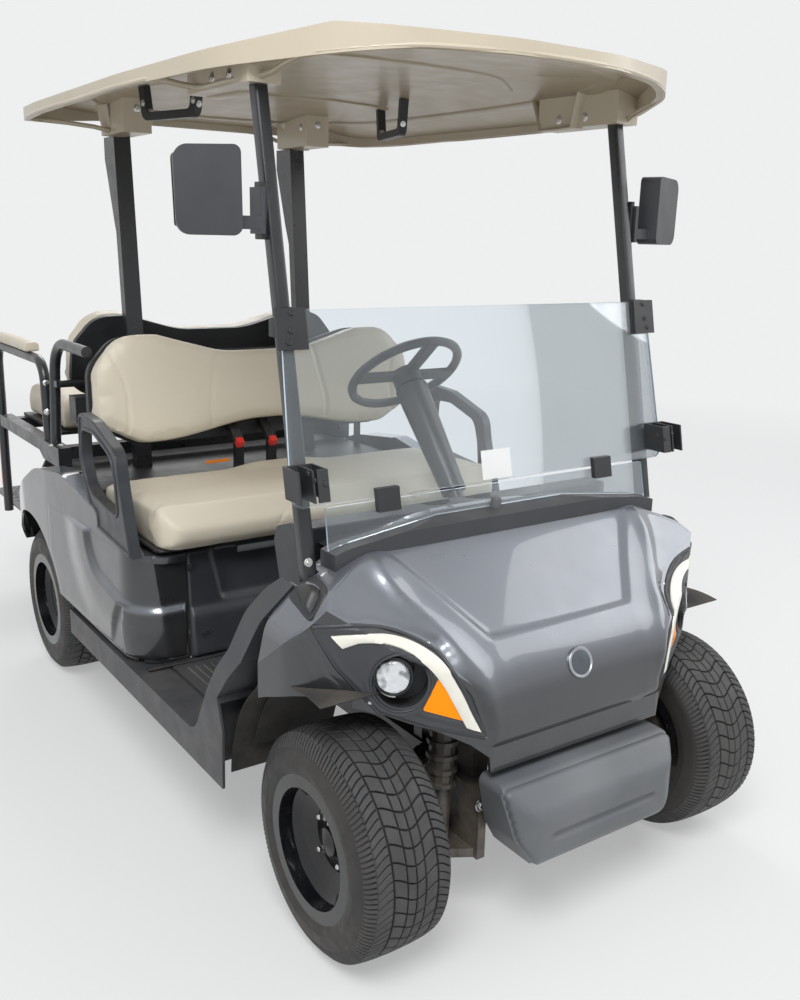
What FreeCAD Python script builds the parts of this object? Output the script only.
import FreeCAD, Part
import Sketcher
import math
import os
from FreeCAD import Placement, Rotation, Vector

# A four-seat golf cart with a canopy and a rear-facing back seat.
# The cart drives towards -Y and +Z is up. The origin lies on the ground under the middle of its length.
# The driver sits on the +X side. All lengths are millimetres and all angles degrees.

os.makedirs("parts", exist_ok=True)
doc = FreeCAD.newDocument("golf_cart")

SIZES = [
    # name, value or formula, what it is
    ("rear_reach", 1425, "rear edge of the footplate behind the origin"),
    ("wheelbase", 1640, "distance between the axles"),
    ("front_axle_y", -1175, "front axle station"),
    ("bumper_ahead", 250, "front of the bumper ahead of the front axle"),
    ("tyre_radius", 229, "outer radius of a tyre"),
    ("tyre_width", 205, "width of a tyre"),
    ("rim_lip", 146, "outer radius of a rim's lip"),
    ("bead_seat", 127, "radius where a tyre's bead sits"),
    ("front_half_track", 445, "middle of a front tyre from the centre plane"),
    ("rear_half_track", 470, "middle of a rear tyre from the centre plane"),
    ("kingpin_x", 345, "kingpin from the centre plane"),
    ("arm_inset", 34, "end of a steering arm inside its kingpin"),
    ("arm_length", 100, "steering arm behind the kingpin"),
    ("floor_z", 310, "top of the floor"),
    ("floor_wall", 6, "floor plate thickness"),
    ("mat_high", 3, "height of the mat on the floor"),
    ("rail_x", 170, "middle of a frame rail from the centre plane"),
    ("rail_wide", 40, "width of a frame rail"),
    ("rail_high", 60, "height of a frame rail"),
    ("rocker_half", 590, "outer face of a rocker trim"),
    ("rocker_wide", 90, "width of a rocker trim"),
    ("body_half", 600, "outer face of the rear fenders"),
    ("wall", 6, "thickness of the moulded body panels"),
    ("arch_radius", 318, "radius of the inner arches over the front wheels"),
    ("rear_arch_radius", 292, "radius of the rear wheel arches"),
    ("kick_y", -372, "front face of the panel under the front seat"),
    ("kick_half", "=body_half - 160", "half width of that panel"),
    ("seat_base_z", 600, "underside of the front seat pan"),
    ("seat_half", "=body_half - 70", "half width of the front seat"),
    ("pan_thick", 8, "thickness of the seat pan"),
    ("deck_z", 665, "top of the rear deck"),
    ("tail_y", 752, "rear face of the painted body"),
    ("post_x", 474, "middle of a front post from the centre plane"),
    ("post_wide", 36, "width of a front post"),
    ("post_deep", 44, "depth of a front post"),
    ("post_foot_y", -1052, "front post at its foot"),
    ("post_foot_z", 690, "foot of a front post"),
    ("post_lean", 11.6, "lean of the front posts"),
    ("post_top_z", 1640, "underside of the roof sockets"),
    ("dash_half", 424, "half width of the instrument panel"),
    ("trim_y", -1102, "front edge of the trim behind the hood"),
    ("trim_high", 24, "height of the trim behind the hood"),
    ("glass_thick", 5, "thickness of the windshield"),
    ("glass_gap", 38, "windshield ahead of the post's middle"),
    ("rear_post_x", 290, "middle of a rear post from the centre plane"),
    ("rear_post_y", 303, "rear post at its foot"),
    ("rear_post_wide", 50, "width of a rear post"),
    ("rear_post_deep", 34, "depth of a rear post"),
    ("roof_half", 604, "half width of the roof"),
    ("roof_front", -1201, "front edge of the roof"),
    ("roof_rear", 506, "rear edge of the roof"),
    ("handle_y", -118, "middle of a grab handle under the roof"),
    ("roof_rim_z", 1658, "underside of the roof at its sides"),
    ("roof_arch_z", 1690, "underside of the roof at its front edge"),
    ("roof_edge", 25, "height of the roof's edge"),
    ("roof_top_z", 1764, "top of the roof"),
    ("roof_wall", 10, "thickness of the roof"),
    ("tube_radius", 16, "radius of the rear seat's tubes"),
    ("hinge_y", -380, "hinge of the front seat"),
    ("loop_front_y", 553, "front upright of a rear side loop"),
    ("loop_rear_y", 1145, "rear upright of a rear side loop"),
    ("arm_z", 972, "armrest tubes of the rear seat"),
    ("rear_frame_x", "=body_half - 100", "side tubes of the rear seat from the centre plane"),
    ("rear_rail_z", 726, "top of the rear seat's side rails"),
    ("rear_seat_half", "=body_half - 150", "half width of the rear cushion"),
    ("flip_y", 1042, "hinge of the rear seat"),
    ("board_thick", 10, "thickness of the rear seat's board"),
    ("plate_z", 380, "top of the footplate"),
    ("plate_front", 1040, "front edge of the footplate"),
    ("column_x", 250, "steering column from the centre plane"),
    ("wheel_y", -335, "middle of the steering wheel"),
    ("wheel_z", 1000, "height of the steering wheel's middle"),
    ("column_seat", 2.9, "what the slanted column ends short of the toe board"),
    ("column_angle", 50, "steering column above the horizontal"),
    ("wheel_radius", 158, "radius of the steering wheel's rim at its middle"),
    ("grip_radius", 13, "radius of the steering wheel's grip"),
    ("cup_radius", 40, "radius of a cup holder's bore"),
    ("seat_gap", 0.3, "what a piece stands off its seat"),
    ("lid_gap", 0.4, "clearance between soft and moving neighbours"),
]

sheet = doc.addObject("Spreadsheet::Sheet", "sizes")
for row, (name, value, note) in enumerate(SIZES, start=1):
    sheet.setAlias(f"A{row}", name)
    sheet.set(f"B{row}", note)
for row, (name, value, note) in enumerate(SIZES, start=1):
    sheet.set(f"A{row}", str(value))
doc.recompute()


class Read:
    """Gives the spreadsheet's values by their names."""

    def __getattr__(self, name):
        return float(sheet.get(name))


s = Read()
PARTS = []
AXES = {"YZ": Vector(1, 0, 0), "XZ": Vector(0, 1, 0), "XY": Vector(0, 0, 1)}


def lift(plane, u, v, level):
    """The point (u, v) of a plane named by its two axes, at a level across it."""
    if plane == "YZ":
        return Vector(level, u, v)
    if plane == "XZ":
        return Vector(u, level, v)
    return Vector(u, v, level)


def rounded(corners, closed=True):
    """Edges through corners, each (point, radius), with an arc at every corner that has a radius."""
    edges = []
    count = len(corners)
    ends = []
    for index, (point, radius) in enumerate(corners):
        before = corners[index - 1][0]
        after = corners[(index + 1) % count][0]
        inner = closed or 0 < index < count - 1
        if radius and inner:
            back = (before - point).normalize()
            ahead = (after - point).normalize()
            half = back.getAngle(ahead) / 2
            reach = radius / math.tan(half)
            first = point + back * reach
            last = point + ahead * reach
            middle = point + (back + ahead).normalize() * (radius / math.sin(half) - radius)
            ends.append((first, last))
            edges.append((index, Part.Arc(first, middle, last).toShape()))
        else:
            ends.append((point, point))
    arcs = dict(edges)
    path = []
    for index in range(count):
        if index in arcs:
            path.append(arcs[index])
        if index == count - 1 and not closed:
            break
        start = ends[index][1]
        stop = ends[(index + 1) % count][0]
        if (stop - start).Length > 1e-6:
            path.append(Part.makeLine(start, stop))
    return Part.Wire(path)


def prism(plane, corners, start, stop):
    """A solid between two levels of a plane, from corners (u, v) or (u, v, radius)."""
    points = [(lift(plane, c[0], c[1], start), c[2] if len(c) > 2 else 0) for c in corners]
    face = Part.Face(rounded(points))
    return face.extrude(AXES[plane] * (stop - start))


def slab(x0, x1, y0, y1, z0, z1):
    """An upright box between two corners."""
    return Part.makeBox(x1 - x0, y1 - y0, z1 - z0, Vector(x0, y0, z0))


def rod(start, stop, radius):
    """A round bar between two points."""
    along = stop - start
    return Part.makeCylinder(radius, along.Length, start, along)


def tube(points, radius, bend, closed=False):
    """A round bar along points with its corners bent."""
    corners = [(Vector(*p), bend) for p in points]
    path = rounded(corners, closed)
    start = path.Edges[0].valueAt(path.Edges[0].FirstParameter)
    along = path.Edges[0].tangentAt(path.Edges[0].FirstParameter)
    ring = Part.Wire(Part.Circle(start, along, radius).toShape())
    return path.makePipeShell([ring], True, False)


def gon(start, stop, radius, sides=12):
    """A bar with flat sides between two points."""
    along = stop - start
    turn = Rotation(Vector(0, 0, 1), along)
    ring = [start + turn.multVec(Vector(radius * math.cos(a), radius * math.sin(a), 0))
            for a in (2 * math.pi * k / sides for k in range(sides))]
    return Part.Face(Part.makePolygon(ring + [ring[0]])).extrude(along)


def mirror_x(shape):
    """The same shape on the other side of the centre plane."""
    return shape.mirror(Vector(0, 0, 0), Vector(1, 0, 0))


def both_sides(shape):
    """A shape and its mirror image as separate solids."""
    return Part.makeCompound([shape, mirror_x(shape)])


def fuse(shapes):
    """One shape joined from several."""
    return shapes[0].multiFuse(shapes[1:]).removeSplitter()


def keep(obj):
    """Notes an object as a sub-part of the cart."""
    PARTS.append(obj)
    return obj


def feature(label, shape):
    """A sub-part whose shape is made in code from the sheet's sizes."""
    obj = doc.addObject("Part::Feature", label)
    obj.Shape = shape
    obj.Label = label
    obj.Placement = Placement()
    return keep(obj)


def plane_of(body, role):
    """One of a body's own origin planes."""
    return next(item for item in body.Origin.OriginFeatures if item.Role == role)


def profile(body, role, rows):
    """A closed sketch of straight lines whose corners follow expressions of the sheet."""
    sketch = body.newObject("Sketcher::SketchObject", body.Name + "_profile")
    sketch.AttachmentSupport = [(plane_of(body, role), "")]
    sketch.MapMode = "FlatFace"
    values = [tuple(float(sheet.evalExpression(text)) for text in row) for row in rows]
    count = len(rows)
    for index, (u, v) in enumerate(values):
        nu, nv = values[(index + 1) % count]
        sketch.addGeometry(Part.LineSegment(Vector(u, v, 0), Vector(nu, nv, 0)), False)
    for index in range(count):
        following = (index + 1) % count
        sketch.addConstraint(Sketcher.Constraint("Coincident", index, 2, following, 1))
    for index, (row, value) in enumerate(zip(rows, values)):
        for kind, text, number in zip(("DistanceX", "DistanceY"), row, value):
            place = sketch.addConstraint(Sketcher.Constraint(kind, index, 1, number))
            sketch.setExpression(f"Constraints[{place}]", linked(text))
    return sketch


def linked(text):
    """An expression with each of the sheet's names led by the sheet."""
    names = sorted((row[0] for row in SIZES), key=len, reverse=True)
    words = text.replace("(", " ( ").replace(")", " ) ").split()
    return " ".join(f"sizes.{word}" if word in names else word for word in words)


def body_of(label):
    """An empty body with its own label."""
    body = doc.addObject("PartDesign::Body", label)
    body.Label = label
    return body


def turned(label, rows):
    """A body revolved about the X axis from a profile of (x, radius) expressions."""
    body = body_of(label)
    sketch = profile(body, "XY_Plane", rows)
    turn = body.newObject("PartDesign::Revolution", label + "_turn")
    turn.Profile = sketch
    turn.ReferenceAxis = (sketch, ["H_Axis"])
    turn.Angle = 360
    return body


def extruded(label, role, rows, length):
    """A body padded both ways from a plane, from a profile of two-coordinate expressions."""
    body = body_of(label)
    sketch = profile(body, role, rows)
    pad = body.newObject("PartDesign::Pad", label + "_pad")
    pad.Profile = sketch
    pad.Midplane = True
    pad.setExpression("Length", linked(length))
    return body


REAR_AXLE = "( front_axle_y + wheelbase )"
WHEELS = [
    # name, side, half track, axle station
    ("front_left", 1, "front_half_track", "front_axle_y"),
    ("front_right", -1, "front_half_track", "front_axle_y"),
    ("rear_left", 1, "rear_half_track", REAR_AXLE),
    ("rear_right", -1, "rear_half_track", REAR_AXLE),
]

TYRE_ROWS = [
    # distance from the tyre's middle plane towards the outside, radius
    ("0 - tyre_width / 2 + 10 + seat_gap", "bead_seat + seat_gap"),
    ("0 - tyre_width / 2 + 10 + seat_gap", "rim_lip + 2"),
    ("0 - tyre_width / 2 + 2", "rim_lip + 8"),
    ("0 - tyre_width / 2", "tyre_radius - 58"),
    ("0 - tyre_width / 2 + 5", "tyre_radius - 30"),
    ("0 - tyre_width / 2 + 16", "tyre_radius - 12"),
    ("0 - tyre_width / 2 + 34", "tyre_radius - 3"),
    ("0", "tyre_radius"),
    ("tyre_width / 2 - 34", "tyre_radius - 3"),
    ("tyre_width / 2 - 16", "tyre_radius - 12"),
    ("tyre_width / 2 - 5", "tyre_radius - 30"),
    ("tyre_width / 2", "tyre_radius - 58"),
    ("tyre_width / 2 - 2", "rim_lip + 8"),
    ("tyre_width / 2 - 10 - seat_gap", "rim_lip + 2"),
    ("tyre_width / 2 - 10 - seat_gap", "bead_seat + seat_gap"),
]

RIM_ROWS = [
    # distance from the rim's middle plane towards the outside, radius
    ("0 - tyre_width / 2 + 6", "bead_seat - 8"),
    ("0 - tyre_width / 2 + 6", "rim_lip"),
    ("0 - tyre_width / 2 + 10", "rim_lip"),
    ("0 - tyre_width / 2 + 10", "bead_seat"),
    ("0 - tyre_width / 2 + 40", "bead_seat"),
    ("0 - tyre_width / 2 + 52", "bead_seat - 18"),
    ("tyre_width / 2 - 52", "bead_seat - 18"),
    ("tyre_width / 2 - 40", "bead_seat"),
    ("tyre_width / 2 - 10", "bead_seat"),
    ("tyre_width / 2 - 10", "rim_lip"),
    ("tyre_width / 2 - 6", "rim_lip"),
    ("tyre_width / 2 - 6", "bead_seat - 8"),
    ("tyre_width / 2 - 36", "bead_seat - 10"),
    ("tyre_width / 2 - 50", "bead_seat - 26"),
    ("tyre_width / 2 - 66", "bead_seat - 60"),
    ("tyre_width / 2 - 66", "34"),
    ("tyre_width / 2 - 48", "28"),
    ("tyre_width / 2 - 40", "0"),
    ("tyre_width / 2 - 72", "0"),
    ("tyre_width / 2 - 72", "bead_seat - 54"),
    ("tyre_width / 2 - 62", "bead_seat - 26"),
    ("0 - tyre_width / 2 + 48", "bead_seat - 26"),
]


def wheel(name, side, half_track, station):
    """A tyre and its rim, turned outwards on its own side."""
    for label, rows in ((f"tyre_{name}", TYRE_ROWS), (f"rim_{name}", RIM_ROWS)):
        body = turned(label, rows)
        body.Placement = Placement(Vector(), Rotation(Vector(0, 0, 1), 0 if side > 0 else 180))
        body.setExpression("Placement.Base.x", linked(f"{side} * {half_track}"))
        body.setExpression("Placement.Base.y", linked(station))
        body.setExpression("Placement.Base.z", "sizes.tyre_radius")
        keep(body)


def knuckle(side, label):
    """A steering knuckle: kingpin, spindle, brake drum and steering arm."""
    x = s.kingpin_x
    y = s.front_axle_y
    z = s.tyre_radius
    pin = rod(Vector(x, y, z - 62), Vector(x, y, z + 70), 16)
    inner_face = s.front_half_track + s.tyre_width / 2 - 72
    spindle = rod(Vector(x, y, z), Vector(inner_face - s.lid_gap, y, z), 18)
    drum = rod(Vector(x + 26, y, z), Vector(x + 76, y, z), 78)
    end = y + s.arm_length
    tip = x - s.arm_inset
    arm = prism("XY", [(x - 12, y - 12), (x + 10, y - 12), (x + 10, y + 20), (tip + 12, end + 12, 8),
                       (tip - 12, end + 12, 8), (tip - 12, end - 20)], z - 40, z - 26)
    shape = fuse([pin, spindle, drum, arm])
    feature(label, shape if side > 0 else mirror_x(shape))


def tie_rods():
    """The sliding rack with its two tie rods, behind the kingpins."""
    y = s.front_axle_y + s.arm_length
    z = s.tyre_radius - 26 + s.lid_gap
    reach = s.kingpin_x - s.arm_inset
    bar = rod(Vector(-reach, y, z + 10), Vector(reach, y, z + 10), 8)
    ends = [rod(Vector(side * reach, y, z), Vector(side * reach, y, z + 24), 11) for side in (1, -1)]
    feature("tie_rods", fuse([bar] + ends))


def chassis_frame():
    """Two rails with cross members, a narrow nose, a raised tail and a dash bar."""
    half = s.rail_wide / 2
    under = s.floor_z - s.floor_wall - s.rail_high
    rise = 110
    rear = s.front_axle_y + s.wheelbase
    nose = s.front_axle_y - s.bumper_ahead + 60
    low = under
    top = under + s.rail_high
    side = [
        (nose, low), (rear - 330, low), (rear - 190, low + rise), (s.tail_y - 30, low + rise),
        (s.tail_y - 30, top + rise), (rear - 214, top + rise), (rear - 354, top), (nose, top),
    ]
    rails = [prism("YZ", side, x - half, x + half) for x in (-s.rail_x, s.rail_x)]
    reach = s.rail_x + half
    cross = []
    for y in (nose, s.front_axle_y + 210, s.kick_y - 120, s.kick_y + 200, rear - 360):
        cross.append(slab(-reach, reach, y, y + s.rail_wide, low, top))
    for y in (rear - 160, s.tail_y - 90):
        cross.append(slab(-reach, reach, y, y + s.rail_wide, low + rise, top + rise))
    outer = s.rocker_half - s.rocker_wide - s.seat_gap
    for y in (s.kick_y - 260, s.kick_y + 120):
        cross.append(slab(-outer, outer, y, y + 34, low + 10, top))
    bar_y = s.post_foot_y + 16
    bar_z = s.post_foot_z - 34
    bar = slab(-s.post_x - 20, s.post_x + 20, bar_y - 20, bar_y + 20, bar_z, bar_z + 34)
    legs = [slab(x - 15, x + 15, bar_y - 15, bar_y + 15, top, bar_z) for x in (-s.rail_x, s.rail_x)]
    tabs = [slab(x - half, x + half, nose + 20, nose + 50, top, s.floor_z + 47 - s.wall - s.seat_gap)
            for x in (-s.rail_x, s.rail_x)]
    feature("chassis_frame", fuse(rails + cross + [bar] + legs + tabs))


def floor_pan():
    """The floor and the toe board that rises from it."""
    front = "( kick_y - 400 )"
    rows = [
        ("kick_y - 20", "floor_z - floor_wall"),
        ("kick_y - 20", "floor_z"),
        ("kick_y - 60", "floor_z"),
        ("kick_y - 60", "floor_z + mat_high"),
        (front + " + 60", "floor_z + mat_high"),
        (front + " + 60", "floor_z"),
        (front, "floor_z"),
        (front + " - 240", "floor_z + 250"),
        (front + " - 246", "floor_z + 244"),
        (front + " - 4", "floor_z - floor_wall"),
    ]
    keep(extruded("floor_pan", "YZ_Plane", rows, "2 * rocker_half - 2 * rocker_wide - 2 * seat_gap"))


BUMPER_BACK = 120
COWL_SIDE = [
    # station from the front axle, height above the floor, corner radius
    (-171, 66, 8), (-176, 96, 30), (-156, 252, 130), (88, 480, 190), (216, 500, 0), (216, 66, 0),
]
COWL_PLAN = [
    # half width, station from the front axle, corner radius
    (0, -180, 0), (236, -166, 40), (404, -76, 120), (548, 36, 120), (584, 240, 60), (584, 330, 0),
]
COWL_FRONT = [
    # half width, height above the floor, corner radius
    (110, 490, 900), (400, 456, 240), (486, 420, 60), (552, 330, 80), (582, 190, 100), (588, 66, 0),
    (0, 66, 0),
]


def mirrored(rows):
    """A half outline closed by its own mirror image."""
    half = [row for row in rows if row[0] > 0]
    other = [(-row[0],) + tuple(row[1:]) for row in reversed(half)]
    return half + other


def cowl_block(inset):
    """The nose as a solid, shrunk all round by an inset."""
    y = s.front_axle_y
    z = s.floor_z
    side = [(y + a + inset if a < 200 else y + a + 1, z + b - inset, r) for a, b, r in COWL_SIDE]
    plan = [(a - inset, y + b + inset, r) for a, b, r in COWL_PLAN if a > 0]
    plan[-1] = (plan[-1][0], y + 331, 0)
    front = [(a - inset if a else 0, z + b - inset, r) for a, b, r in COWL_FRONT if a > 0]
    front[-1] = (front[-1][0], z + 60 - inset, 0)
    wide = s.body_half + 20
    solid = prism("YZ", side, -wide, wide)
    solid = solid.common(prism("XY", mirrored(plan), 0, 1000))
    return solid.common(prism("XZ", mirrored(front), y - 400, y + 400))


def band_edge(shift):
    """The slanted line where the painted nose meets the dark side trim."""
    y = s.front_axle_y
    z = s.floor_z
    return [(y + 295 + shift, z + 127), (y + 202 + shift, z + 238), (y + 140 + shift, z + 380),
            (y + 104 + shift, z + 470)]


ARCH_EDGE = [
    # station from the front axle, height above the floor, corner radius
    (-30, 225, 0), (31, 227, 150), (137, 188, 120), (210, 149, 60), (256, 108, 30), (276, 40, 0),
    (280, -300, 0), (-30, -300, 0),
]
LOWER_EDGE = [
    # half width, height above the floor
    (214, -100), (236, 100), (271, 129), (323, 157), (374, 177), (412, 194), (474, 210), (541, 225),
    (640, 232), (640, -100),
]


def arch_cut(x0, x1):
    """The wheel opening behind the axle, as its edge runs along the side."""
    return prism("YZ", [(s.front_axle_y + a, s.floor_z + b, r) for a, b, r in ARCH_EDGE], x0, x1)


def lower_edge():
    """What is cut from the nose under its slanted lower edges."""
    y = s.front_axle_y
    return prism("XZ", [(a, s.floor_z + b) for a, b in LOWER_EDGE], y - 400, y + 31)


def front_cowl(outer):
    """The painted nose, a thin shell open below and behind."""
    inner = cowl_block(s.wall)
    inner = inner.fuse(slab(-540, 540, s.front_axle_y + 150, s.front_axle_y + 400,
                            s.floor_z - 50, s.floor_z + 455))
    shell = outer.cut(inner)
    y = s.front_axle_y
    z = s.floor_z
    rear = band_edge(0)
    behind = prism("YZ", rear + [(y + 500, z + 560), (y + 500, 0), (y + 300, 0)],
                   s.rocker_half - s.rocker_wide - 2, s.body_half + 100)
    inboard = slab(s.post_x - 34, s.rocker_half, y + 150, y + 400, 0, s.post_foot_z - 36)
    for cut in (arch_cut(262, 700), lower_edge(), behind, inboard, lamp_outline(0), post_prism(2, -60)):
        shell = shell.cut(cut).cut(mirror_x(cut))
    main = max(shell.Solids, key=lambda solid: solid.Volume)
    feature("front_cowl", main)


LAMP_AXIS = Vector(0.56, -0.80, 0.12)
LAMP_CENTRE = (395, -70, 262)


def lamp_place():
    """The lamp's own frame: looks along its axis, with its first direction outwards."""
    x, y, z = LAMP_CENTRE
    place = Vector(x, s.front_axle_y + y, s.floor_z + z)
    ahead = Vector(LAMP_AXIS).normalize()
    across = Vector(0, 0, 1).cross(ahead).normalize()
    upward = ahead.cross(across)
    return place, ahead, across, upward


def lamp_prism(corners, back, front):
    """A solid along the lamp's axis from corners (outwards, up, radius)."""
    place, ahead, across, upward = lamp_place()
    points = [(place + across * c[0] + upward * c[1] + ahead * back, (c + (0,))[2]) for c in corners]
    return Part.Face(rounded(points)).extrude(ahead * (front - back))


def lamp_outline(gap):
    """The teardrop opening of the lamp, from its low front tip to its high outer end."""
    corners = [
        (-180 + gap, -122 + gap, 6), (-146 + gap, -30 - gap, 60), (-66, 66 - gap, 90), (50, 106 - gap, 60),
        (164 - gap, 108 - gap, 8), (112 - gap, 20 + gap, 60), (20, -78 + gap, 90),
    ]
    return lamp_prism(corners, -140, 120)


def lamps(outer):
    """Bezels, lenses, light strips and turn signals, all cut from the nose's own surface."""
    deep = cowl_block(26)
    skin = outer.cut(deep).common(lamp_outline(1))
    skin = skin.cut(arch_cut(262, 700)).cut(lower_edge())
    bowl = lamp_prism([(-68, -59, 56), (44, -59, 56), (44, 53, 56), (-68, 53, 56)], -140, 120)
    strip = lamp_prism([(-167, -98, 2), (-142, -34, 60), (-76, 50, 90), (20, 80, 60), (118, 78, 2),
                        (76, 64, 20), (20, 60, 60), (-62, 22, 90), (-128, -44, 60), (-152, -96, 2)],
                       -140, 120)
    signal = lamp_prism([(-84, 12), (-134, -82), (-53, -58, 4)], -140, 120)
    strips = skin.common(strip)
    signals = skin.common(signal).cut(strip)
    bezel = skin.cut(bowl).cut(strip).cut(signal)
    bezel = max(bezel.Solids, key=lambda solid: solid.Volume)
    place, ahead, across, upward = lamp_place()
    middle = place + across * 2 + upward * 9 - ahead * 34
    lens = Part.makeSphere(40, middle).cut(Part.makeSphere(36, middle))
    lens = lens.common(lamp_prism([(-60, -60), (70, -60), (70, 70), (-60, 70)], -20, 40))
    cup = Part.makeCylinder(56 - s.seat_gap, 60, place - across * 12 - upward * 3 - ahead * 60, ahead)
    cup = cup.cut(Part.makeCylinder(50, 60, place - across * 12 - upward * 3 - ahead * 56, ahead))
    ring = Part.makeCylinder(38, 34, middle - ahead * 22, ahead).cut(Part.makeSphere(40 + s.seat_gap, middle))
    cup = cup.cut(Part.makeSphere(40 + s.seat_gap, middle)).fuse(ring)
    cup = cup.cut(strip).cut(strip.translated(upward * -s.seat_gap))
    cup = cup.cut(arch_cut(200, 700)).cut(lower_edge().translated(Vector(0, 0, -2)))
    cup = max(cup.Solids, key=lambda solid: solid.Volume)
    feature("headlamp_bezels", both_sides(bezel))
    feature("headlamp_bowls", both_sides(cup))
    feature("headlamp_lenses", both_sides(lens))
    feature("light_strips", both_sides(max(strips.Solids, key=lambda solid: solid.Volume)))
    feature("turn_signals", both_sides(max(signals.Solids, key=lambda solid: solid.Volume)))


def cowl_trim():
    """The dark trim that lies across the nose under the lower windshield."""
    band = slab(-440, 440, s.trim_y, s.trim_y + 56, s.floor_z + 300, 1000)
    band = band.common(cowl_block(-s.trim_high)).cut(cowl_block(-s.seat_gap))
    feature("cowl_trim", max(band.Solids, key=lambda solid: solid.Volume))


BUMPER_SIDE = [
    # distance behind the bumper's front, height above the floor, corner radius
    (22, -118, 16), (3, -98, 22), (0, -4, 34), (56, 46, 30), (BUMPER_BACK, 50, 0), (BUMPER_BACK, -108, 0),
]
BUMPER_FRONT = [
    # half width, height above the floor, corner radius
    (178, -120, 30), (212, -60, 60), (236, 52, 20),
]
BUMPER_PLAN = [
    # half width, distance behind the bumper's front, corner radius
    (186, 0, 50), (240, 62, 60), (240, BUMPER_BACK + 20, 0),
]


def bumper_block(inset):
    """The bumper as a solid, shrunk all round by an inset and then open at its back."""
    f = s.front_axle_y - s.bumper_ahead
    z = s.floor_z
    share = (s.bumper_ahead - 130) / BUMPER_BACK
    shrink = 1 if inset else 0
    side = []
    for a, b, r in BUMPER_SIDE:
        back = f + a * share + (inset if a < BUMPER_BACK else 40 * shrink)
        side.append((back, z + b + (inset if b < 0 else -inset), r - inset * shrink if r else 0))
    front = [(a - inset, z + b + (inset if b < 0 else -inset), r) for a, b, r in BUMPER_FRONT]
    plan = [(a - inset, f + b * share + inset, r) for a, b, r in BUMPER_PLAN]
    block = prism("YZ", side, -250, 250).common(prism("XZ", mirrored(front), f - 5, f + 300))
    return block.common(prism("XY", mirrored(plan), 0, s.floor_z + 200))


def front_bumper():
    """The hollow bumper moulding under the nose."""
    feature("front_bumper", bumper_block(0).cut(bumper_block(s.wall)))


def dash_panel():
    """The instrument panel with its two cup holders and two open cubbies."""
    y = s.post_foot_y
    z = s.floor_z
    front = s.front_axle_y + 217 + s.seat_gap
    side = [(front, z + 360, 6), (front, z + 486, 4), (front + 60, z + 486, 30), (front + 124, z + 464, 20),
            (front + 136, z + 430, 14), (front + 96, z + 300, 30), (front + 4, z + 262, 6)]
    block = prism("YZ", side, -s.dash_half, s.dash_half)
    cubby = [(front + 40, z + 320, 16), (front + 40, z + 420, 16), (y + 300, z + 420), (y + 300, z + 320)]
    block = block.cut(prism("YZ", cubby, 30 - s.dash_half, -110))
    block = block.cut(prism("YZ", cubby, 330, s.dash_half - 20))
    for x in (-60, 60):
        block = block.cut(Part.makeCylinder(s.cup_radius, 120, Vector(x, front + 62, z + 400)))
    feature("dash_panel", block)


def side_trims():
    """Rocker and slanted band in one moulding on each side."""
    y = s.front_axle_y
    z = s.floor_z
    rear = s.front_axle_y + s.wheelbase - s.rear_arch_radius - 40
    corners = [
        (rear, z - 75), (rear, z - 2), (y + 420, z - 2, 60), (y + 350, z + 122, 60), (y + 262, z + 248, 40),
        (y + 210, z + 380, 60), (y + 150, z + 440, 6), (y + 112, z + 446, 6), (y + 142, z + 380),
        (y + 204, z + 238), (y + 297, z + 127), (y + 274, z + 60, 30), (y + 278, z - 75),
    ]
    band = prism("YZ", corners, s.rocker_half - s.rocker_wide, s.rocker_half)
    front = [(a + 4, z + b + 4, r) for a, b, r in COWL_FRONT if 0 < a < 580]
    front += [(s.rocker_half, z + 190, 100), (s.rocker_half, z - 200, 0)]
    band = band.common(prism("XZ", mirrored(front), y - 400, y + 2000))
    face = s.rocker_half - s.rocker_wide
    band = band.cut(slab(face - 1, s.rocker_half - s.wall, y + 180, y + 384, z - 100, z - 2 - s.wall))
    band = band.cut(slab(face - 1, s.rocker_half - s.wall, y + 180, y + 330, z - 20, z + 114))
    band = band.cut(slab(face - 1, face + s.wall, y + 180, y + 2000, z - 8, z + 20))
    feature("side_trims", both_sides(max(band.Solids, key=lambda solid: solid.Volume)))


def tub_block(inset):
    """The body under the seats as a solid, shrunk all round by an inset."""
    z = s.floor_z
    k = s.kick_y
    axle = s.front_axle_y + s.wheelbase
    side = [(k - 16 + inset, z, 0), (k + inset, z + 288 - inset, 30), (k + 134, z + 334 - inset, 100),
            (axle - 330, z + 400 - inset, 120), (axle - 90, z + 372 - inset, 300),
            (s.tail_y - 60 - inset, z + 224 - inset, 160), (s.tail_y - inset, z + 54, 0)]
    plan = [(s.body_half - 26 - inset, k - 16 + inset, 110 - inset), (s.body_half - inset, axle - 200, 600),
            (s.body_half - inset, axle + 60, 300),
            (s.body_half - 40 - inset, s.tail_y + 5 - inset, 100 - inset)]
    solid = prism("YZ", side, -s.body_half - 5, s.body_half + 5)
    return solid.common(prism("XY", mirrored(plan), 0, 1000))


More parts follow.
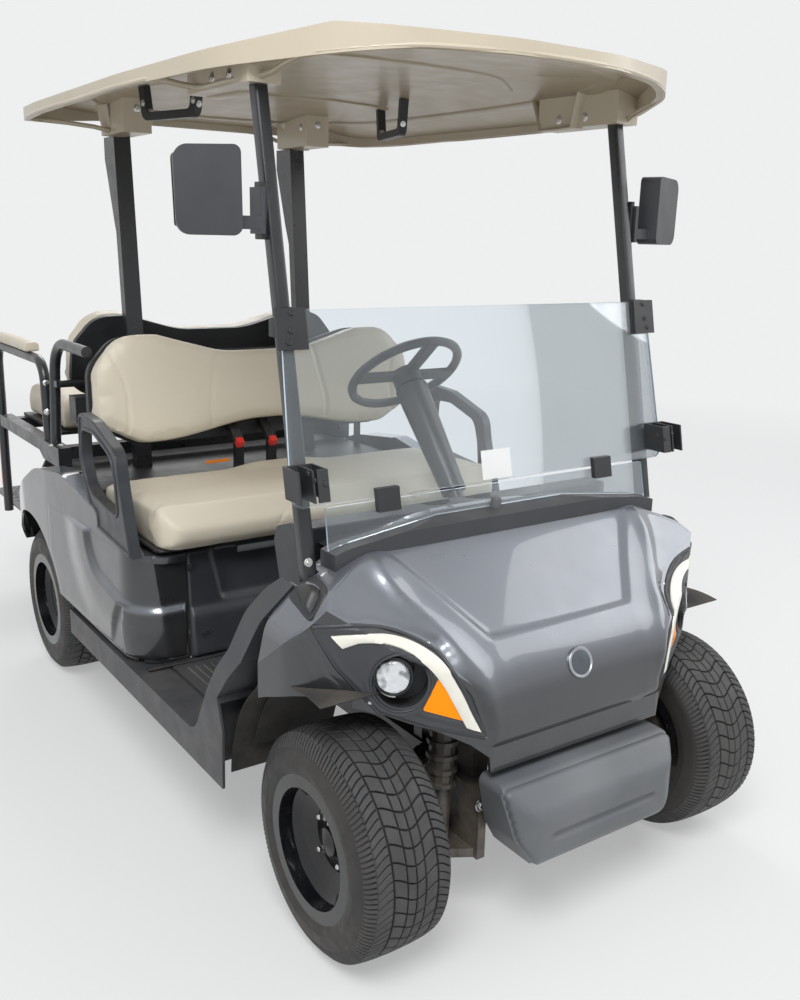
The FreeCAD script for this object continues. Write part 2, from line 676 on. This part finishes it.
def rear_body():
    """The painted tub under and behind the front seat, a thin wall with open wheel arches."""
    z = s.floor_z
    k = s.kick_y
    axle = s.front_axle_y + s.wheelbase
    wide = s.body_half + 10
    opening = s.rear_frame_x + s.tube_radius + 10
    well = s.seat_half + 12
    inner = s.body_half - 40
    r = s.rear_arch_radius
    tub = tub_block(0).cut(tub_block(s.wall))
    openings = [
        slab(-s.kick_half, s.kick_half, k - 50, k + 130, 0, 1000),
        slab(-opening, opening, k + 60, s.tail_y - 190, z + 200, 1000),
        slab(-s.rear_frame_x, s.rear_frame_x, k + 60, s.tail_y + 20, s.deck_z - 153, 1000),
        slab(-well, well, k - 60, axle - 330, s.seat_base_z - 5, 1000),
        slab(-inner, inner, k + 20, s.tail_y - 40, z - 50, z + 60),
        rod(Vector(-wide, axle, s.tyre_radius), Vector(wide, axle, s.tyre_radius), r),
        slab(-wide, wide, axle - r, axle + r, 0, s.tyre_radius),
    ]
    for opening_part in openings:
        tub = tub.cut(opening_part)
    feature("rear_body", max(tub.Solids, key=lambda solid: solid.Volume))
    lamp = rod(Vector(440, s.tail_y - 60, z + 148), Vector(440, s.tail_y + 6, z + 148), 42)
    feature("tail_lamps", both_sides(lamp.cut(tub_block(-s.seat_gap))))


def rear_deck():
    """The matte deck behind the front seat, bent down towards the tail."""
    rows = [
        ("kick_y + 440", "deck_z - wall"),
        ("kick_y + 440", "deck_z"),
        ("tail_y - 150", "deck_z"),
        ("tail_y - 70", "deck_z - 60"),
        ("tail_y - 20", "deck_z - 152"),
        ("tail_y - 28", "deck_z - 152"),
        ("tail_y - 76", "deck_z - 66"),
        ("tail_y - 152", "deck_z - wall"),
    ]
    keep(extruded("rear_deck", "YZ_Plane", rows, "2 * rear_frame_x - 4"))


def seat_kick_panel():
    """The dark panel under the front seat, with its step."""
    rows = [
        ("kick_y - 20", "floor_z + seat_gap"),
        ("kick_y - 26", "floor_z + seat_gap"),
        ("kick_y - 14", "floor_z + 110"),
        ("kick_y + 2", "floor_z + 134"),
        ("kick_y + 12", "seat_base_z - seat_gap"),
        ("kick_y + 60", "seat_base_z - seat_gap"),
        ("kick_y + 60", "seat_base_z - wall"),
        ("kick_y + 18", "seat_base_z - wall"),
        ("kick_y + 8", "floor_z + 130"),
        ("kick_y - 8", "floor_z + 106"),
    ]
    keep(extruded("seat_kick_panel", "YZ_Plane", rows, "2 * kick_half - 2 * seat_gap"))


def battery_pack():
    """The battery pack as one plain block under the front seat."""
    box = doc.addObject("Part::Box", "battery_pack")
    box.Label = "battery_pack"
    box.setExpression("Length", "sizes.kick_half * 2 - 160")
    box.setExpression("Width", "360")
    box.setExpression("Height", "250")
    box.setExpression("Placement.Base.x", "80 - sizes.kick_half")
    box.setExpression("Placement.Base.y", "sizes.kick_y + 40")
    box.setExpression("Placement.Base.z", "sizes.floor_z - sizes.floor_wall")
    keep(box)


def rear_axle():
    """The rear axle with its gear case, motor and brake drums."""
    y = s.front_axle_y + s.wheelbase
    z = s.tyre_radius
    face = s.rear_half_track + s.tyre_width / 2 - 72 - s.lid_gap
    pieces = [rod(Vector(-face, y, z), Vector(face, y, z), 30)]
    for side in (1, -1):
        start = side * (s.rear_half_track - 84)
        pieces.append(rod(Vector(start, y, z), Vector(start + side * 50, y, z), 88))
    pieces.append(rod(Vector(-70, y, z), Vector(40, y, z), 96))
    pieces.append(rod(Vector(40, y - 60, z + 10), Vector(60, y - 60, z + 10), 80))
    pieces.append(rod(Vector(-70, y - 110, z + 24), Vector(-222, y - 110, z + 24), 84))
    pieces.append(slab(-96, -60, y - 130, y, z - 60, z + 70))
    feature("rear_axle", fuse(pieces))


def rear_springs():
    """A leaf spring and a damper on each side of the rear axle."""
    y = s.front_axle_y + s.wheelbase
    z = s.tyre_radius
    x = s.rail_x + 60
    leaf = [(y - 330, z + 26), (y - 160, z - 30), (y, z - 48), (y + 130, z - 30), (y + 236, z + 26),
            (y + 236, z + 34), (y + 130, z - 14), (y, z - 30.5), (y - 160, z - 14), (y - 330, z + 34)]
    spring = prism("YZ", leaf, x, x + 50)
    eyes = [rod(Vector(x, y + a, z + 34), Vector(x + 50, y + a, z + 34), 14) for a in (-332, 238)]
    hanger = slab(s.rail_x + s.rail_wide / 2 + s.seat_gap, x, y - 350, y - 314, z + 20, z + 60)
    shackle = slab(s.rail_x + s.rail_wide / 2 + s.seat_gap, x, y + 220, y + 256, z + 20, z + 150)
    feature("rear_springs", both_sides(fuse([spring] + eyes + [hanger, shackle])))


COIL_TURNS = 6
COIL_PITCH = 30


def front_suspension():
    """Lower arms, upper links and coil-over dampers from the frame to the kingpins."""
    x0 = s.rail_x + s.rail_wide / 2 + s.seat_gap
    y = s.front_axle_y
    z = s.tyre_radius
    pin = s.kingpin_x
    under = z - 62 - s.seat_gap
    arm = prism("XY", [(x0, y - 110), (pin - 6, y - 22), (pin + 14, y), (pin - 6, y + 22), (x0, y + 70)],
                under - 20, under)
    foot = slab(x0, x0 + 20, y - 110, y + 70, under - 20, s.floor_z - 10)
    over = z + 70 + s.seat_gap
    link = prism("XY", [(x0, y + 66), (pin - 10, y - 12), (pin + 12, y - 4), (pin + 8, y + 14),
                        (x0 + 30, y + 96), (x0, y + 96)], over, over + 14)
    link_foot = slab(x0, x0 + 20, y + 60, y + 100, s.floor_z - 60, over + 14)
    low = Vector(x0 + 74, y - 46, under)
    top = Vector(x0 + 56, y - 34, z + 318)
    lean = (top - low).normalize()
    length = (top - low).Length
    strut = [rod(low, low + lean * length * 0.5, 22), rod(low, top, 10)]
    for step in range(COIL_TURNS):
        middle = low + lean * (length * 0.36 + COIL_PITCH * step)
        strut.append(gon(middle, middle + lean * 9, 33))
        strut.append(gon(middle, middle + lean * COIL_PITCH, 27))
    tower = slab(s.rail_x - 20, x0 + 96, y - 74, y + 6, z + 316, z + 326)
    leg = slab(s.rail_x - 20, s.rail_x + 20, y - 60, y, s.floor_z - s.floor_wall + s.seat_gap, z + 326)
    feature("front_suspension", both_sides(fuse([arm, foot, link, link_foot, tower, leg] + strut)))


def column_line():
    """The steering column's direction and its two ends."""
    angle = math.radians(s.column_angle)
    along = Vector(0, math.cos(angle), math.sin(angle))
    hub = Vector(s.column_x, s.wheel_y, s.wheel_z)
    return along, hub


def steering_gear():
    """The column's outer tube with its cover, and the gear box it ends in."""
    along, hub = column_line()
    top = hub - along * 44
    board = s.kick_y - 400
    slope = 250 / 240
    reach = (hub.z - s.floor_z - (board - hub.y) * slope) / (along.z + along.y * slope)
    foot = hub - along * (reach - s.column_seat)
    tube_part = rod(foot, top, 22)
    shroud = Part.makeCone(34, 46, 330, hub - along * 380, along)
    gear_y = s.front_axle_y + s.arm_length + 46
    gear_z = s.floor_z - s.floor_wall + 20 + s.seat_gap
    rack = rod(Vector(-150, gear_y, gear_z), Vector(150, gear_y, gear_z), 20)
    feature("steering_gear", Part.makeCompound([fuse([tube_part, shroud]), rack]))


def steering_wheel():
    """The steering wheel's grip, three spokes and hub."""
    along, hub = column_line()
    across = Vector(1, 0, 0)
    upward = along.cross(across)
    ring = []
    for step in range(8):
        turn = math.pi * (step + 0.5) / 4
        reach = s.wheel_radius + s.grip_radius * math.cos(turn)
        ring.append(hub + across * reach + along * s.grip_radius * math.sin(turn))
    grip = Part.Face(Part.makePolygon(ring + [ring[0]])).revolve(hub, along, 360)
    boss = rod(hub - along * 43, hub + along * 4, 42)
    spokes = []
    for angle in (0, 180, 270):
        turn = math.radians(angle)
        out = across * math.cos(turn) + upward * math.sin(turn)
        side = along.cross(out)
        start = hub - along * 14 + side * 18
        far = start + out * s.wheel_radius
        points = [start, start - side * 36, far - side * 36, far]
        spokes.append(Part.Face(Part.makePolygon(points + [start])).extrude(along * 14))
    feature("steering_wheel", fuse([grip, boss] + spokes))


def pedals():
    """The brake and accelerator pedals on the toe board."""
    length = math.hypot(240, 250)
    along = Vector(0, -240 / length, 250 / length)
    off = Vector(0, 250 / length, 240 / length)
    start = Vector(0, s.kick_y - 400, s.floor_z)
    pieces = []
    for x0, x1 in ((80, 160), (330, 390)):
        rows = [(60, 56), (160, 56), (160, 66), (60, 66)]
        post = [(96, s.seat_gap), (120, s.seat_gap), (120, 58), (96, 58)]
        middle = (x0 + x1) / 2
        solids = []
        for corners, low, high in ((rows, x0, x1), (post, middle - 8, middle + 8)):
            points = [start + along * a + off * b for a, b in corners]
            solids.append(prism("YZ", [(p.y, p.z) for p in points], low, high))
        pieces.append(fuse(solids))
    feature("pedals", Part.makeCompound(pieces))


BACK_OUTLINE = [
    # half width, height above the lower edge, corner radius
    (400, 0, 60), (530, 70, 60), (520, 230, 90), (440, 318, 90), (330, 322, 120), (130, 268, 300),
]


BACK_DEEP = 92


def back_outline(shrink):
    """The two-humped outline of a seat back."""
    rows = []
    for x, z, r in BACK_OUTLINE:
        edge = min(shrink, 8)
        rows.append((x * (s.seat_half - shrink) / s.seat_half, z + (edge if z < 150 else -edge), r))
    return mirrored(rows)


def back_place(y, z, lean, turned_by):
    """Where a seat back stands, with its own Y running from the pad into the shell."""
    tilt = Placement(Vector(), Rotation(Vector(1, 0, 0), -lean))
    return Placement(Vector(0, y, z), Rotation(Vector(0, 0, 1), turned_by)) * tilt


def seat_back(label, shell_label, place, narrow):
    """A padded seat back with its hard shell behind it."""
    pad = prism("XZ", back_outline(narrow), 0, 70)
    shell = prism("XZ", back_outline(narrow - 6), 70 + s.seat_gap, BACK_DEEP)
    for name, shape in ((label, pad), (shell_label, shell)):
        feature(name, shape.transformGeometry(place.toMatrix()))


HIP_OUTER = [
    # station from the kick panel, height above the seat's base, corner radius
    (338, 312, 26), (344, 190, 80), (310, 108, 60), (232, 20, 20), (-14, 0, 0), (20, 100, 80), (44, 178, 60),
    (58, 250, 50), (222, 304, 80),
]
HIP_INNER = [
    (314, 266, 22), (320, 190, 60), (288, 130, 50), (237, 104, 30), (72, 88, 14), (82, 170, 60),
    (102, 230, 40), (222, 268, 60),
]


def hip_rails():
    """The two moulded side loops beside the front seat, standing on the body's shoulders."""
    x = s.body_half - 42
    place = [[(s.kick_y + a, s.seat_base_z + b, r) for a, b, r in rows] for rows in (HIP_OUTER, HIP_INNER)]
    outer = prism("YZ", place[0], x, x + 26)
    loop = outer.cut(prism("YZ", place[1], x - 10, x + 40)).cut(tub_block(-s.seat_gap))
    feature("hip_rails", both_sides(max(loop.Solids, key=lambda solid: solid.Volume)))


ROOF_PLAN = [
    # half width, share of the way from the front edge to the rear edge, corner radius
    (130, 0.0, 300), (400, 0.062, 300), (560, 0.21, 300), (604, 0.42, 600), (590, 0.80, 300),
    (556, 0.955, 110), (300, 1.0, 300),
]


def roof_plan(inset):
    """The roof seen from above, as half width, station and corner radius."""
    length = s.roof_rear - s.roof_front
    plan = []
    for x, share, r in ROOF_PLAN:
        y = s.roof_front + length * share
        y = y + inset if share < 0.3 else (y - inset if share > 0.7 else y)
        plan.append((x / 604 * s.roof_half - inset, y, r))
    return mirrored(plan)


def roof_block(inset, drop, below):
    """The roof as a solid arched across and crowned along its length."""
    rim = s.roof_rim_z
    arch = s.roof_arch_z
    top = s.roof_top_z - drop
    wide = s.roof_half + 20
    middle = (s.roof_front + s.roof_rear) / 2
    side = [(s.roof_front - 20, rim - 100), (s.roof_front - 20, arch + s.roof_edge - drop),
            (middle - 420, top - 12, 900), (middle + 300, top, 900),
            (s.roof_rear + 20, arch + s.roof_edge - drop), (s.roof_rear + 20, rim - 100)]
    across = [(300, arch - below, 400), (wide, rim - 2 - below), (wide, rim + s.roof_edge - 2 - drop),
              (330, top - 14, 700), (120, top + 4, 900)]
    solid = prism("YZ", side, -700, 700).common(prism("XY", roof_plan(inset), rim - 100, s.roof_top_z + 20))
    return solid.common(prism("XZ", mirrored(across), s.roof_front - 50, s.roof_rear + 50))


def roof_shell():
    """The canopy with its hollow underside and its four post sockets."""
    shell = roof_block(0, 0, 0).cut(roof_block(14, s.roof_wall, 60))
    lean = math.tan(math.radians(s.post_lean))
    front_y = s.post_foot_y + (s.post_top_z - s.post_foot_z) * lean
    pieces = [shell]
    inside = roof_block(8, s.roof_wall / 2, 60)
    for side in (1, -1):
        x = side * s.post_x
        front = slab(x - 34, x + 34, front_y - 40, front_y + 230, s.post_top_z, s.roof_top_z)
        x = side * s.rear_post_x
        y = s.rear_post_y + 75
        rear = slab(x - 40, x + 40, y - 150, y + 40, s.post_top_z, s.roof_top_z)
        pieces.append(front.common(inside))
        pieces.append(rear.common(inside))
    feature("roof_shell", fuse(pieces))


def roof_handles():
    """The two grab handles under the roof, toed out towards the rear."""
    outline = [(-120, 110), (-102, 0, 24), (102, 0, 24), (120, 110),
               (98, 110), (84, 20, 12), (-84, 20, 12), (-98, 110)]
    grip = prism("YZ", outline, -11, 11)
    spot = Vector(0.553 * s.roof_half, s.handle_y, s.roof_rim_z - 12)
    place = Placement(spot, Rotation(Vector(0, 0, 1), -16))
    grip = grip.transformGeometry(place.toMatrix())
    room = roof_block(14 + s.seat_gap, s.roof_wall + s.seat_gap, 60)
    feature("roof_handles", both_sides(grip.common(room)))


def post_prism(grow, drop):
    """A leaning front post, grown all round and let down at its foot."""
    lean = math.tan(math.radians(s.post_lean))
    low = s.post_foot_z + drop
    half = s.post_deep / 2 + grow
    foot = s.post_foot_y + drop * lean
    head = s.post_foot_y + (s.post_top_z - s.post_foot_z) * lean
    side = [(foot - half, low), (foot + half, low), (head + half, s.post_top_z), (head - half, s.post_top_z)]
    wide = s.post_wide / 2 + grow
    return prism("YZ", side, s.post_x - wide, s.post_x + wide)


def front_posts():
    """The two leaning steel posts of the windshield."""
    feature("front_posts", both_sides(post_prism(0, 0)))


def rear_posts():
    """The two rear posts with their moulded covers."""
    y = s.rear_post_y
    z = s.deck_z
    high = s.post_top_z - z
    half = s.rear_post_deep / 2
    side = [(y - half, z + s.seat_gap), (y + half, z + s.seat_gap), (y + half + 75, z + high - s.seat_gap),
            (y - half + 75, z + high - s.seat_gap)]
    post = prism("YZ", side, s.rear_post_x - s.rear_post_wide / 2, s.rear_post_x + s.rear_post_wide / 2)
    cover = [(y + 46, z + high - 400), (y + half + 92, z + high - 240), (y + half + 150, z + high - 60),
             (y + half + 150, z + high - s.seat_gap), (y + 70, z + high - s.seat_gap)]
    flange = prism("YZ", cover, s.rear_post_x - 16, s.rear_post_x + 16)
    feature("rear_posts", both_sides(fuse([post, flange])))


def glass_point(z):
    """The windshield's station at a height, parallel to the posts."""
    lean = math.tan(math.radians(s.post_lean))
    return s.post_foot_y + (z - s.post_foot_z) * lean - s.glass_gap


def glass_panel(low, high, half_low, half_high, radius):
    """A flat clear panel that leans with the posts."""
    thick = s.glass_thick
    side = [(glass_point(low), low), (glass_point(high), high), (glass_point(high) - thick, high),
            (glass_point(low) - thick, low)]
    panel = prism("YZ", side, -600, 600)
    front = [(half_low, low - 1, radius), (half_high, high + 1, radius)]
    return panel.common(prism("XZ", mirrored(front), -2000, 0))


def windshield():
    """The folding upper panel and the fixed lower panel."""
    upper = glass_panel(872, 1236, 508, 490, 26)
    lower = glass_panel(740, 866, 440, 436, 4).cut(cowl_block(-s.trim_high - 1))
    feature("windshield", Part.makeCompound([upper, lower]))


def on_glass(low, high, near, far):
    """A section between two heights and two distances in front of the windshield's rear face."""
    return [(glass_point(low) - near, low), (glass_point(high) - near, high), (glass_point(high) - far, high),
            (glass_point(low) - far, low)]


def windshield_clips():
    """The upper clamps, the lower catches, the two seam clips and the hood stop."""
    g = s.seat_gap
    front = s.glass_thick + g
    clips = []
    for low, high in ((1164, 1240), (890, 940)):
        behind = on_glass(low, high, -g, 2 * g - s.glass_gap + s.post_deep / 2)
        clips.append(prism("YZ", behind, s.post_x - 18, s.post_x + 18))
    clips.append(prism("YZ", on_glass(1164, 1240, front, front + 8), s.post_x - 32, s.post_x + 32))
    x0 = s.post_x - 18
    x1 = s.post_x + 46
    catch = [prism("YZ", on_glass(894, 954, front, front + 4), x0, x1)]
    for x in (x0, x0 + 30, x1 - 4):
        catch.append(prism("YZ", on_glass(894, 954, front, front + 58), x, x + 4))
    catch.append(prism("YZ", on_glass(894, 954, front + 54, front + 58), x0, x0 + 24))
    clips.append(fuse(catch))
    clips.append(prism("YZ", on_glass(846, 892, front, front + 12), 270, 324))
    pieces = clips + [mirror_x(clip) for clip in clips]
    feature("windshield_clips", Part.makeCompound(pieces))


def mirror_housings():
    """The two mirrors, turned towards the driver, with their arms on the front posts."""
    lean = math.tan(math.radians(s.post_lean))
    z = 1446
    y = s.post_foot_y + (z - s.post_foot_z) * lean
    face = s.post_x + s.post_wide / 2
    corners = [(0, -78, 18), (118, -78, 26), (122, 76, 26), (2, 80, 14)]
    shell = prism("XZ", corners, -50, 0)
    bowl = prism("XZ", [(8, -70, 12), (110, -70, 20), (114, 68, 20), (10, 72, 10)], -8, 10)
    turn = Placement(Vector(face + 38, y - 6, z), Rotation(Vector(0, 0, 1), 20))
    shell = shell.cut(bowl).transformGeometry(turn.toMatrix())
    arm = slab(face + s.seat_gap, face + 50, y - 34, y - 12, z - 66, z - 42)
    plate = slab(face + s.seat_gap, face + 10, y - 34, y + 10, z - 74, z + 10)
    feature("mirror_housings", both_sides(fuse([shell, arm, plate])))


def rear_seat_frame(back):
    """Side rails, back hoops, side loops, cross bars and the arms under the footplate."""
    x = s.rear_frame_x
    z = s.rear_rail_z
    r = s.tube_radius
    low = s.deck_z + s.seat_gap
    front = s.loop_front_y - 158
    rear = s.flip_y + 44
    rail = prism("YZ", [(front, low), (front, z), (rear, z), (rear, z - 40), (s.tail_y - 150, z - 40),
                        (s.tail_y - 190, low)], x - 20, x + 20)
    loop = tube([(x, s.loop_front_y, z - 4), (x, s.loop_front_y + 10, s.arm_z),
                 (x, s.loop_rear_y - 10, s.arm_z),
                 (x, s.loop_rear_y, s.plate_z - 24)], r, 70)
    shell_rear = s.kick_y + 364 + 92 + 47
    hoop = tube([(x, s.loop_front_y - 70, z - 4), (x, s.loop_front_y - 120, z + 320),
                 (x, shell_rear + s.seat_gap, z + 318)], r, 110)
    link = rod(Vector(x, rear - 8, z - 20), Vector(x, s.loop_rear_y, z - 20), 11)
    side = fuse([rail, loop, hoop, link])
    cross = [slab(-x, x, a, a + 40, z - 38, z) for a in (front + 10, s.flip_y - 60)]
    bar = [back.multVec(Vector(a, BACK_DEEP + 11 + s.seat_gap, 100)) for a in (-x, x)]
    cross.append(rod(bar[0], bar[1], 11))
    for end in bar:
        cross.append(slab(end.x - 10, end.x + 10, end.y - 6, end.y + 50, end.z - 10, end.z + 10))
    arms = []
    for mark in (1, -1):
        a = mark * s.rail_x
        under = s.floor_z - s.floor_wall - s.rail_high + 110 - s.seat_gap
        top = s.plate_z - 8 - s.seat_gap
        corners = [(s.tail_y - 200, under - 36), (s.plate_front + 10, under - 36),
                   (s.rear_reach - 40, top - 14), (s.rear_reach - 40, top),
                   (s.plate_front + 10, top), (s.plate_front - 10, under), (s.tail_y - 200, under)]
        arms.append(prism("YZ", corners, a - 18, a + 18))
    feature("rear_seat_frame", Part.makeCompound([fuse([side, mirror_x(side)] + cross)] + arms))


def armrest_pads():
    """The two padded armrests on the side loops."""
    x = s.rear_frame_x
    z = s.arm_z + s.tube_radius + s.seat_gap
    pad = prism("XZ", [(x - 26, z, 4), (x + 26, z, 4), (x + 24, z + 34, 14), (x - 24, z + 34, 14)],
                s.loop_front_y + 130, s.loop_rear_y - 70)
    feature("armrest_pads", both_sides(pad))


def footplate():
    """The rear footplate with its raised side and rear edges."""
    rows = [
        ("plate_front", "plate_z - 4"),
        ("rear_reach", "plate_z - 4"),
        ("rear_reach", "plate_z - 24"),
        ("rear_reach - 4", "plate_z - 24"),
        ("rear_reach - 4", "plate_z - 8"),
        ("plate_front", "plate_z - 8"),
    ]
    keep(extruded("footplate", "YZ_Plane", rows, "2 * rear_frame_x - 2 * tube_radius - 2 * seat_gap"))


def front_seat():
    """The front cushion and the pan that it is fixed to, which tip forward together."""
    y = s.kick_y
    z = s.seat_base_z + s.pan_thick
    side = [(s.hinge_y + 6, z + s.lid_gap, 4), (y - 84, z + 18, 24), (y - 98, z + 66, 20),
            (y - 40, z + 116, 60),
            (y + 380, z + 96, 40), (y + 388, z + s.lid_gap, 10)]
    cushion = prism("YZ", side, -s.seat_half, s.seat_half)
    plan = [(s.seat_half, y - 100, 70), (s.seat_half, y + 390, 40)]
    cushion = cushion.common(prism("XY", mirrored(plan), 0, 1000))
    feature("front_cushion", cushion)
    pan = slab(-s.seat_half + 30, s.seat_half - 30, s.hinge_y + 8, y + 384, z - s.pan_thick, z)
    feature("front_seat_pan", pan)


def rear_seat():
    """The rear cushion on the board that flips over backwards."""
    y = s.flip_y
    z = s.rear_rail_z + s.seat_gap
    board = slab(-s.rear_seat_half, s.rear_seat_half, y - 440, y - 6, z, z + s.board_thick)
    feature("rear_seat_board", board)
    low = z + s.board_thick + s.lid_gap
    side = [(y - 440, low, 10), (y - 440, low + 96, 40), (y - 60, low + 112, 60), (y - 4, low + 60, 30),
            (y - 14, low, 8)]
    cushion = prism("YZ", side, -s.rear_seat_half + 6, s.rear_seat_half - 6)
    feature("rear_cushion", cushion)


def seat_belts():
    """Belt buckles between the front seat's halves and the belt reels behind it."""
    z = s.deck_z + s.seat_gap
    y = s.kick_y + 446
    pieces = [slab(x - 14, x + 14, y + 26, y + 44, z, z + 112) for x in (-56, 56)]
    for side in (1, -1):
        x = side * (s.rear_frame_x - 24)
        stalk = slab(x - 10, x + 10, y + 192, y + 204, z, z + 170)
        reel = slab(x - 26, x + 26, y + 180, y + 240, z + 160, z + 236)
        pieces.append(fuse([stalk, reel]))
    feature("seat_belts", Part.makeCompound(pieces))


def wheel_liners():
    """The dark inner arches over the front wheels."""
    y = s.front_axle_y
    z = s.tyre_radius
    edge = s.rocker_half - s.rocker_wide - s.seat_gap
    outer = Part.makeCylinder(s.arch_radius - 1, edge - 305, Vector(305, y, z), Vector(1, 0, 0))
    inner = Part.makeCylinder(s.arch_radius - 5, 280, Vector(260, y, z), Vector(1, 0, 0))
    ring = outer.cut(inner).cut(slab(200, 700, y - 500, y + 500, -100, z + 70))
    ring = ring.cut(slab(200, 700, y - 500, y + 10, 0, 1000))
    behind = slab(200, edge, y + 150, y + 400, 0, 1000)
    ring = ring.common(cowl_block(s.wall + s.seat_gap).fuse(behind))
    feature("wheel_liners", both_sides(ring))


for row in WHEELS:
    wheel(*row)
knuckle(1, "knuckle_left")
knuckle(-1, "knuckle_right")
tie_rods()
chassis_frame()
floor_pan()
nose = cowl_block(0)
front_cowl(nose)
lamps(nose)
cowl_trim()
front_bumper()
dash_panel()
side_trims()
rear_body()
rear_deck()
seat_kick_panel()
battery_pack()
rear_axle()
rear_springs()
front_suspension()
steering_gear()
steering_wheel()
pedals()
front_back = back_place(s.kick_y + 364, s.seat_base_z + 192, 10, 0)
rear_back = back_place(s.loop_front_y - 30, s.rear_rail_z + 106, 6, 180)
seat_back("front_seat_back", "front_back_shell", front_back, 0)
seat_back("rear_seat_back", "rear_back_shell", rear_back, 60)
hip_rails()
roof_shell()
roof_handles()
front_posts()
rear_posts()
windshield()
windshield_clips()
mirror_housings()
rear_seat_frame(rear_back)
armrest_pads()
footplate()
front_seat()
rear_seat()
seat_belts()
wheel_liners()

doc.recompute()
for obj in doc.Objects:
    if "Invalid" in obj.State or "Error" in obj.State:
        raise RuntimeError(f"{obj.Label} failed: {obj.State}")
for obj in PARTS:
    if obj.Shape.isNull() or not obj.Shape.isValid() or not obj.Shape.Solids:
        raise RuntimeError(f"{obj.Label} has no valid solid")
for obj in PARTS:
    obj.Shape.exportStep(f"parts/{obj.Label}.step")
